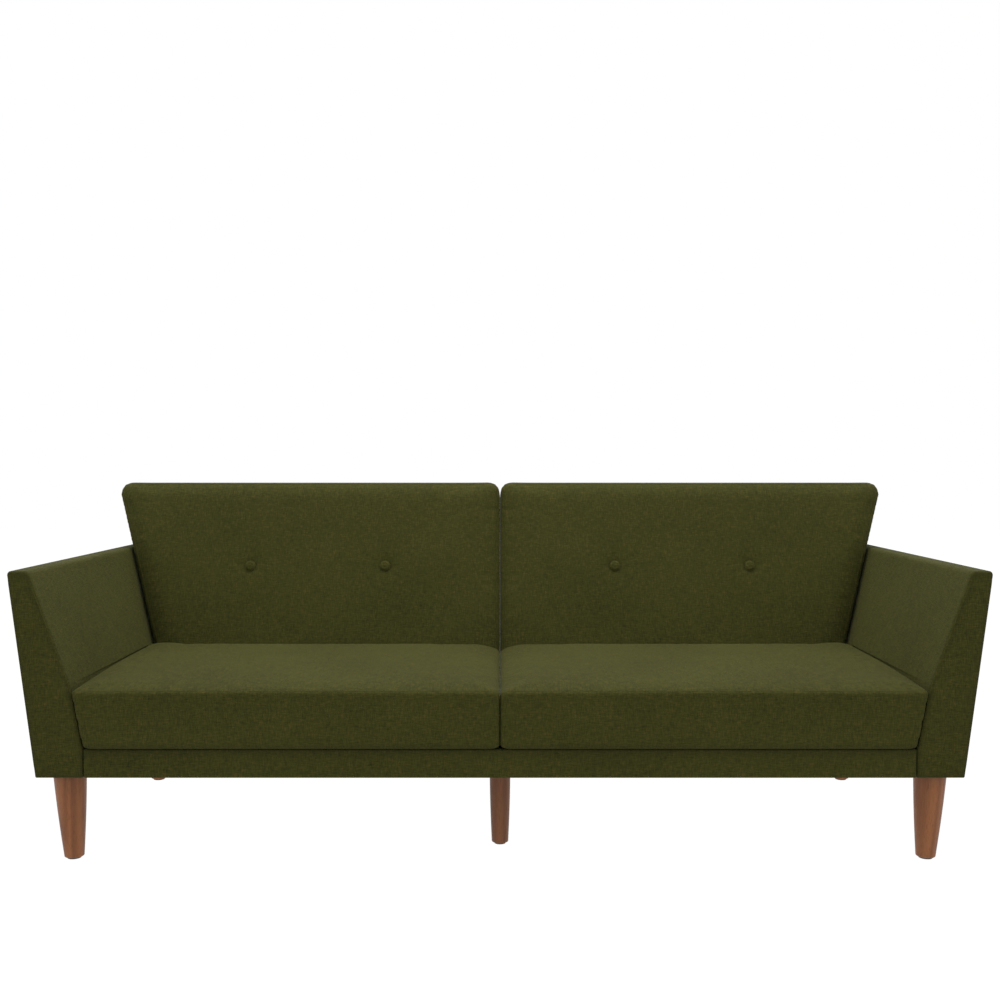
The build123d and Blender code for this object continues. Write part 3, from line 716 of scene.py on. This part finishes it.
def backOutline(depth, inset):
    low = -backPlan["drop"]
    top = backPlan["top"]
    corners = [(backPlan["gap"], low), (backSide(low), low), (backSide(top), top), (backPlan["gap"], top)]
    corners = insetCorners(corners, inset + backPlan["shrink"])
    topCorner = max(backPlan["cornerRadius"] - inset, 0.008)
    radii = [0.006, 0.008, topCorner, topCorner]
    flat = roundedOutline(corners, radii, sideSteps=60)
    return np.column_stack([flat[:, 0], np.full(len(flat), depth), flat[:, 1]])


def roundFoot(points):
    # the lower front edge is a quarter circle about the hinge side, so that it clears the seat as it folds
    drop = backPlan["drop"]
    offset = points - np.array([0, backPlan["front"] - drop, 0])
    reach = np.hypot(offset[:, 1], offset[:, 2])
    outside = (offset[:, 1] > 0) & (offset[:, 2] < 0) & (reach > drop - 0.001)
    scale = np.where(outside, (drop - 0.001) / np.maximum(reach, 1e-6), 1)
    result = points.copy()
    result[:, 1] = np.where(outside, offset[:, 1] * scale + backPlan["front"] - drop, points[:, 1])
    result[:, 2] = np.where(outside, offset[:, 2] * scale, points[:, 2])
    return result


def buttonPlaces():
    middle = (backPlan["gap"] + backSide(backPlan["buttonHeight"])) / 2
    half = backPlan["buttonSpacing"] / 2
    return [(middle - half, backPlan["buttonHeight"]), (middle + half, backPlan["buttonHeight"])]


def pressButtons(points):
    # each button pulls the front in by depth / (1 + (distance / spread)^2)^1.5
    result = points.copy()
    ahead = np.clip((points[:, 1] - 0.03) / 0.05, 0, 1)
    for x, u in buttonPlaces():
        distance = np.hypot(points[:, 0] - x, points[:, 2] - u)
        angle = np.arctan2(points[:, 2] - u, points[:, 0] - x)
        pull = backPlan["dimple"] / (1 + (distance / backPlan["dimpleSpread"]) ** 2) ** 1.5
        fold = 0.0007 * np.cos(9 * angle + x * 7) * np.exp(-((distance - 0.03) / 0.02) ** 2)
        result[:, 1] -= (pull + fold) * ahead
    return result


def cutWells(piece):
    # room for the hinge plates, cut from what is sewn round them
    cutters = []
    for index, (low, high) in enumerate(backPlan["plateRanges"]):
        angle = np.linspace(0, 2 * math.pi, 48, endpoint=False)
        radius = backPlan["well"]
        circle = np.stack([0 * angle, radius * np.cos(angle), radius * np.sin(angle)], axis=1)
        rings = [backPlace(circle + np.array([x, 0, 0])) for x in (low, high)]
        cutters.append(ringStack(f"wellTool{index}", rings, capSteps=1))
        modifier = piece.modifiers.new("well", "BOOLEAN")
        modifier.operation = "DIFFERENCE"
        modifier.solver = "EXACT"
        modifier.object = cutters[-1]
    bakeModifiers(piece)
    for cutter in cutters:
        bpy.data.objects.remove(cutter)


def makeBack():
    profile = edgeProfile(
        -backPlan["rear"], backPlan["front"], backPlan["rearRadius"], backPlan["frontRadius"])
    rings = [backOutline(depth, inset) for depth, inset in profile]
    back = ringStack("rightBack", [backPlace(ring) for ring in rings], capSteps=30)

    def freedom(points):
        local = backLocal(points)
        limit = np.full(len(points), backPlan["sideRoom"])
        limit = np.where(local[:, 1] > backPlan["front"] - 0.006, backPlan["crown"], limit)
        limit = np.where(local[:, 2] < 0.03, 0.001, limit)
        return np.where(local[:, 1] < -backPlan["rear"] + 0.004, 0.0005, limit)

    puff(back, backPlan, freedom)
    relax(back, 1)
    top = backPlan["top"]
    low = np.array([backPlan["gap"], -backPlan["rear"], -backPlan["drop"]])
    high = np.array([backSide(top) - 0.0115, backPlan["front"] + 0.002, top])
    points = fitBox(backLocal(coordinates(back.data)), low, high)
    normals = vertexNormals(back.data)
    outer = backSide(points[:, 2]) + backPlan["sidePress"]
    plane = np.where(normals[:, 0] < 0, backPlan["middleGap"], outer)
    pressed = pressFlat(points, normals, plane, 0.7)
    belowCorner = np.clip((top - backPlan["cornerRadius"] - points[:, 2]) / 0.01, 0, 1)
    corner = (backPlan["middleGap"] - backPlan["gap"]) * np.clip(1 - points[:, 0] / 0.06, 0, 1)
    points[:, 0] = pressed * belowCorner + (points[:, 0] + corner) * (1 - belowCorner)
    setCoordinates(back.data, backPlace(pressButtons(roundFoot(points))))
    frontSeam = roundFoot(backOutline(backPlan["front"] - 0.003, 0.003))
    rearSeam = backOutline(-backPlan["rear"] + 0.003, 0.002)
    return back, [backPlace(frontSeam), backPlace(rearSeam)]


def makeRearCover():
    # a thin flat panel; section gives (depth behind the back, inset) round its rolled rim
    rear = backPlan["rear"]
    section = ((0.0, 0.0055), (0.0015, 0.0035), (0.003, 0.0045), (0.003, 0.012))
    rings = [backOutline(-(rear + depth), inset) for depth, inset in section]
    return ringStack("rightRearCover", [backPlace(ring) for ring in rings], capSteps=24)


def makeButton(place):
    # lathe: a cloth dome, radius * sin(angle) wide and high in the middle, with a tucked rim
    x, u = place
    radius = backPlan["buttonRadius"]
    angle = np.linspace(0.05, math.pi / 2, 10)
    dome = np.stack([radius * np.sin(angle), 0.0045 * np.cos(angle) + 0.0006 * np.cos(9 * angle)], axis=1)
    skirt = np.array([(radius, -0.0015), (radius * 0.93, -0.003), (radius * 0.6, -0.0035)])
    section = np.concatenate([dome, skirt])
    turn = np.linspace(0, 2 * math.pi, 40, endpoint=False)
    ripple = 1 + 0.012 * np.cos(11 * turn)
    rings = np.stack([
        x + section[:, :1] * np.cos(turn) * ripple,
        np.repeat(section[:, 1:], len(turn), axis=1),
        u + section[:, :1] * np.sin(turn) * ripple], axis=-1)
    return rings


def addBacks():
    back, seams = makeBack()
    surface = surfaceOf(back)
    cutWells(back)
    cover = makeRearCover()
    cutWells(cover)
    places = []
    for x, u in buttonPlaces():
        start = backPlace([x, backPlan["front"] + 0.1, u])
        hit = surface.ray_cast(Vector(start), Vector(-forward))
        places.append(float(backLocal(np.array(hit[0]))[1]))
    for side, sign in (("right", 1), ("left", -1)):
        body = f"{side}_back"
        piece = back if sign > 0 else mirrorPiece(back, "leftBack")
        panel = cover if sign > 0 else mirrorPiece(cover, "leftRearCover")
        # painted shade rings round the buttons, added to the seam lines
        rounds = [circleAt((x, u, depth), 0.0155) for (x, u), depth in zip(buttonPlaces(), places)]
        routes = [route * (sign, 1, 1) for route in seams + rounds]
        finishSoft(piece, body, f"{side}_back_cushion", True, routes)
        finishSoft(panel, body, f"{side}_rear_cover", True)
        seam = seamOn(piece, f"{side}BackFrontSeam", routes[0], backPlan["seam"])
        finishSoft(seam, body, None, True)
        domes = []
        for (x, u), depth in zip(buttonPlaces(), places):
            rings = makeButton((x, u))
            rings[..., 1] += depth + backPlan["buttonLift"]
            domes.append(ringStack("dome", backPlace(rings) * (sign, 1, 1), capSteps=1))
        buttons = joinPieces(domes, f"{side}Buttons")
        finishSoft(buttons, body, f"{side}_back_buttons", True)
    print("backs done")


def joinPieces(parts, name):
    points = [coordinates(part.data) for part in parts]
    starts = np.cumsum([0] + [len(block) for block in points[:-1]])
    faces = []
    for part, start in zip(parts, starts):
        faces += [[start + number for number in face.vertices] for face in part.data.polygons]
    for part in parts:
        bpy.data.objects.remove(part)
    return makeMesh(name, np.concatenate(points), faces)


# arms

armPlan = {
    "edge": 0.006, "swell": 0.0025, "seatLean": 0.027, "footWidth": 0.106, "topWidth": 0.048,
    "seam": 0.0013, "relief": 0.0022, "reliefDrop": 0.044,
    "reliefFront": 0.104, "releaseDegrees": 15, "seamInset": 0.003, "outerExtra": 0.0017,
    "rearExtra": 0.0029}


def armCorners():
    # front outline, counter-clockwise: foot, outer edge, top, inner knee at seat height
    outerTop = armBox[1].x + armPlan["outerExtra"]
    foot = armShape["foot"]
    top = armShape["top"]
    outerFoot = outerTop - armShape["splay"]
    inner = outerFoot - armPlan["footWidth"]
    knee = seatBox[1].z
    return [
        (inner, foot), (outerFoot, foot), (outerTop, top), (outerTop - armPlan["topWidth"], top),
        (inner + armPlan["seatLean"], knee), (inner, seatBox[0].z)]


def armRear(z):
    rise = (z - armShape["foot"]) / (armShape["top"] - armShape["foot"])
    return armShape["rear"] + armPlan["rearExtra"] - armShape["rake"] * (1 - rise)


def armRing(share, inset):
    # outline at a share of the way from the front to the raked rear
    corners = insetCorners(armCorners(), inset)
    radii = [0.003, 0.003, 0.008, 0.012, 0.03, 0.02]
    flat = roundedOutline(corners, radii, sideSteps=40)
    y = armFront + share * (armRear(flat[:, 1]) - armFront)
    return np.column_stack([flat[:, 0], y, flat[:, 1]])


def foldRelief(points):
    # least x that clears the back's flared side as it folds: half + flare * distance from the hinge line
    y = points[:, 1] - hingePoint[1]
    z = points[:, 2] - hingePoint[2]
    reach = np.hypot(y, z)
    lean = np.degrees(np.arctan2(y, z))
    release = math.radians(armPlan["releaseDegrees"])
    leanForward = -y * math.cos(release) + z * math.sin(release)
    leanUp = y * math.sin(release) + z * math.cos(release)
    wide = backPlan["half"] + 0.004 + armPlan["relief"]
    cone = wide + backPlan["flare"] * reach
    flat = wide + backPlan["flare"] * y
    upright = wide + backPlan["flare"] * leanUp
    swept = np.where((lean >= armPlan["releaseDegrees"]) & (lean <= 90), cone, 0)
    below = np.where((lean > 90) & (z > -armPlan["reliefDrop"]) & (y > 0), flat, 0)
    early = lean < armPlan["releaseDegrees"]
    ahead = np.where(early & (leanForward < armPlan["reliefFront"]) & (leanUp > 0), upright, 0)
    return np.maximum(np.maximum(swept, below), ahead)


def makeArm():
    length = armShape["rear"] - armFront
    edge = armPlan["edge"]
    # the rounding is worked out in shares of the length, then its inset goes back to metres
    profile = edgeProfile(0.0, 1.0, edge / length, edge / length, middle=110)
    rings = [armRing(share, inset * length) for share, inset in profile]
    arm = ringStack("rightArm", rings, capSteps=14)

    points = coordinates(arm.data)
    # both broad faces belly out by swell * sin(pi s) * sin(pi t), s back along the arm and t up it
    s = np.clip((points[:, 1] - armFront) / length, 0, 1)
    t = np.clip((points[:, 2] - armShape["foot"]) / (armShape["top"] - armShape["foot"]), 0, 1)
    belly = armPlan["swell"] * np.sin(math.pi * s) * np.sin(math.pi * t)
    points[:, 0] += belly * vertexNormals(arm.data)[:, 0]
    points = fitBox(points, armBox[0], armBox[1] - Vector((0.003, 0, 0)))
    relief = foldRelief(points)
    points[:, 0] = np.maximum(points[:, 0], relief)
    low = seatBox[1].z
    seatSide = armCorners()[0][0]
    heights = [armShape["foot"], seatBox[0].z, low]
    knee = np.interp(points[:, 2], heights, [seatSide, seatSide, seatSide + armPlan["seatLean"]])
    points[:, 0] = np.where(points[:, 2] < low, np.maximum(points[:, 0], knee), points[:, 0])
    setCoordinates(arm.data, points)
    inset = armPlan["seamInset"]
    return arm, [armRing(inset / length, inset), armRing(1 - inset / length, inset)]


def addArms():
    arm, seams = makeArm()
    for side, sign in (("right", 1), ("left", -1)):
        piece = arm if sign > 0 else mirrorPiece(arm, "leftArm")
        routes = [route * (sign, 1, 1) for route in seams]
        finishSoft(piece, "base", f"{side}_arm_pad", seams=routes)
        seam = seamOn(piece, f"{side}ArmFrontSeam", routes[0], armPlan["seam"])
        finishSoft(seam, "base", None)
    print("arms done")


# front rail cover and dust cover

railPlan = {"radius": 0.004, "steps": 300, "tuck": 0.001, "reach": 0.0025, "shade": 0.018}


def addRailCover():
    # rounded section in (y, z) carried along x, its ends rounded in the same way
    low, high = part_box("front_rail_cover")
    high.z = seatBox[0].z + railPlan["tuck"]
    low.x -= railPlan["reach"]
    high.x += railPlan["reach"]
    corners = [(low.y, low.z), (high.y, low.z), (high.y, high.z), (low.y, high.z)]
    radius = railPlan["radius"]
    profile = edgeProfile(low.x, high.x, radius, radius, middle=railPlan["steps"])
    rings = []
    for x, inset in profile:
        shrunk = insetCorners(corners, inset + 0.0002)
        flat = roundedOutline(shrunk, [max(radius - inset, 0.001)] * 4, sideSteps=16)
        rings.append(np.column_stack([np.full(len(flat), x), flat]))
    cover = ringStack("railCover", rings, capSteps=2)
    # painted shadow: the cloth darkens along the top front edge, passed in as a seam line, where the seat's
    # overhang shades the rail
    reach = np.linspace(low.x, high.x, 3)
    top = np.stack([reach, 0 * reach + low.y, 0 * reach + high.z], axis=1)
    finishSoft(cover, "base", "front_rail_cover", seams=[top], width=railPlan["shade"])
    print("rail cover done")


dustPlan = {"sag": 0.004, "tack": 0.0006, "thickness": 0.0008, "columns": 120, "rows": 50}


def addDustCover():
    # sheet z = low - sag * sin(pi s)^0.5 * sin(pi t)^0.5, tacked round its edge
    low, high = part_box("dust_cover")
    columnShare = np.linspace(0, 1, dustPlan["columns"])
    rowShare = np.linspace(0, 1, dustPlan["rows"])
    s, t = np.meshgrid(columnShare, rowShare, indexing="ij")
    belly = np.sqrt(np.sin(math.pi * s) * np.sin(math.pi * t))
    tack = dustPlan["tack"] * np.sin(s * 90) * (1 - belly)
    x = low.x + (high.x - low.x) * s
    y = low.y + (high.y - low.y) * t
    z = low.z + dustPlan["tack"] - dustPlan["sag"] * belly + tack
    points = np.stack([x, y, z], axis=-1).reshape(-1, 3)
    rows, columns = s.shape
    row, column = np.meshgrid(np.arange(rows - 1), np.arange(columns - 1), indexing="ij")
    start = row * columns + column
    quads = np.stack([start, start + 1, start + columns + 1, start + columns], axis=-1).reshape(-1, 4)
    sheet = makeMesh("dustSheet", points, quads.tolist())
    modifier = sheet.modifiers.new("thickness", "SOLIDIFY")
    modifier.thickness = dustPlan["thickness"]
    modifier.offset = 0
    smoothShade(sheet)
    sheet.data.materials.append(lining)
    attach(sheet, "base")
    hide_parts("dust_cover")
    print("dust cover done")


# legs

legPlan = {
    "hidden": 0.002, "shadow": 0.6, "shadowReach": 0.006, "chamfer": 0.0015, "belly": 0.0012,
    "sides": 48, "centreShade": 0.68}


def legShape(node, name, shade=1.0):
    # lathe about a leaning axis: radius = foot + (top - foot) * h + belly * sin(pi h), rounded at both ends
    mesh = frame["nodes"][node].data
    points = coordinates(mesh)
    low = points[points[:, 2] < points[:, 2].min() + 0.001]
    high = points[points[:, 2] > points[:, 2].max() - 0.001]
    base = (low.min(axis=0) + low.max(axis=0)) / 2
    head = (high.min(axis=0) + high.max(axis=0)) / 2
    footRadius = (low[:, 0].max() - low[:, 0].min()) / 2
    topRadius = (high[:, 0].max() - high[:, 0].min()) / 2
    height = head[2] - base[2]
    chamfer = legPlan["chamfer"] / height
    profile = edgeProfile(0.0, 1.0, chamfer, chamfer, middle=26)
    h = profile[:, 0]
    radius = footRadius + (topRadius - footRadius) * h + legPlan["belly"] * np.sin(math.pi * h)
    radius -= profile[:, 1] * height
    turn = np.linspace(0, 2 * math.pi, legPlan["sides"], endpoint=False)
    axis = base + (head - base) * h[:, None]
    rings = np.stack([
        axis[:, :1] + radius[:, None] * np.cos(turn),
        axis[:, 1:2] + radius[:, None] * np.sin(turn),
        np.repeat(axis[:, 2:], len(turn), axis=1)], axis=-1)
    leg = ringStack(name, rings, capSteps=2)
    # painted shade: the leg darkens just under the seat frame, and the centre leg darkens overall, where it stands
    # in shade under the sofa
    below = head[2] - coordinates(leg.data)[:, 2]
    paintedLegShade = leg.data.attributes.new("paintedLegShade", "FLOAT", "POINT")
    shadow = np.exp(-np.maximum(below - legPlan["hidden"], 0) / legPlan["shadowReach"])
    paintedLegShade.data.foreach_set("value", shade * (1 - legPlan["shadow"] * shadow))
    smoothShade(leg)
    leg.data.materials.append(walnut)
    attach(leg, "base")
    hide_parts(node)


def addLegs():
    legShape("front_left_leg", "frontLeftLeg")
    legShape("front_right_leg", "frontRightLeg")
    legShape("rear_left_leg", "rearLeftLeg")
    legShape("rear_right_leg", "rearRightLeg")
    legShape("centre_leg", "centreLeg", legPlan["centreShade"])
    print("legs done")


addSeats()
addBacks()
addArms()
addRailCover()
addDustCover()
addLegs()


# floor and light

lightPlan = {"world": 1.0, "top": 135.0, "front": 3.0}


def addStage():
    reach = 12.0
    corners = np.array([(-1, -1, 0), (1, -1, 0), (1, 1, 0), (-1, 1, 0)], float)
    floor = makeMesh("floor", reach * corners, [[0, 1, 2, 3]])
    shader = Shader("paleFloor")
    x, y, z = shader.split(shader.node("ShaderNodeTexCoord", output=3))
    cloud = shader.noise(shader.vector(x, y, z), 0.7, 3.0)
    tint = shader.mixColour(cloud, (0.02, 0.02, 0.02, 1), (0.03, 0.03, 0.03, 1))
    floor.data.materials.append(shader.finish(
        Base_Color=tint, Roughness=0.9, Specular_IOR_Level=0.0,
        Emission_Color=(1, 1, 1, 1), Emission_Strength=1.0))


def addLight(name, place, aim, size, power):
    data = bpy.data.lights.new(name, "AREA")
    data.shape = "RECTANGLE"
    data.size, data.size_y = size
    data.energy = power
    light = bpy.data.objects.new(name, data)
    light.location = place
    light.rotation_mode = "QUATERNION"
    light.rotation_quaternion = (Vector(aim) - Vector(place)).to_track_quat("-Z", "Y")
    scene.collection.objects.link(light)


def addWorld(strength):
    world = bpy.data.worlds.new("studio")
    world.use_nodes = True
    background = world.node_tree.nodes["Background"]
    background.inputs["Color"].default_value = (1, 1, 1, 1)
    background.inputs["Strength"].default_value = strength
    scene.world = world


addStage()
addWorld(lightPlan["world"])
addLight("topLight", (0, 0.35, 3.2), (0, 0, 0.4), (4.0, 2.4), lightPlan["top"])
addLight("frontLight", (0, -4.2, 2.6), (0, 0, 0.5), (4.0, 1.5), lightPlan["front"])
print("stage and lights done")
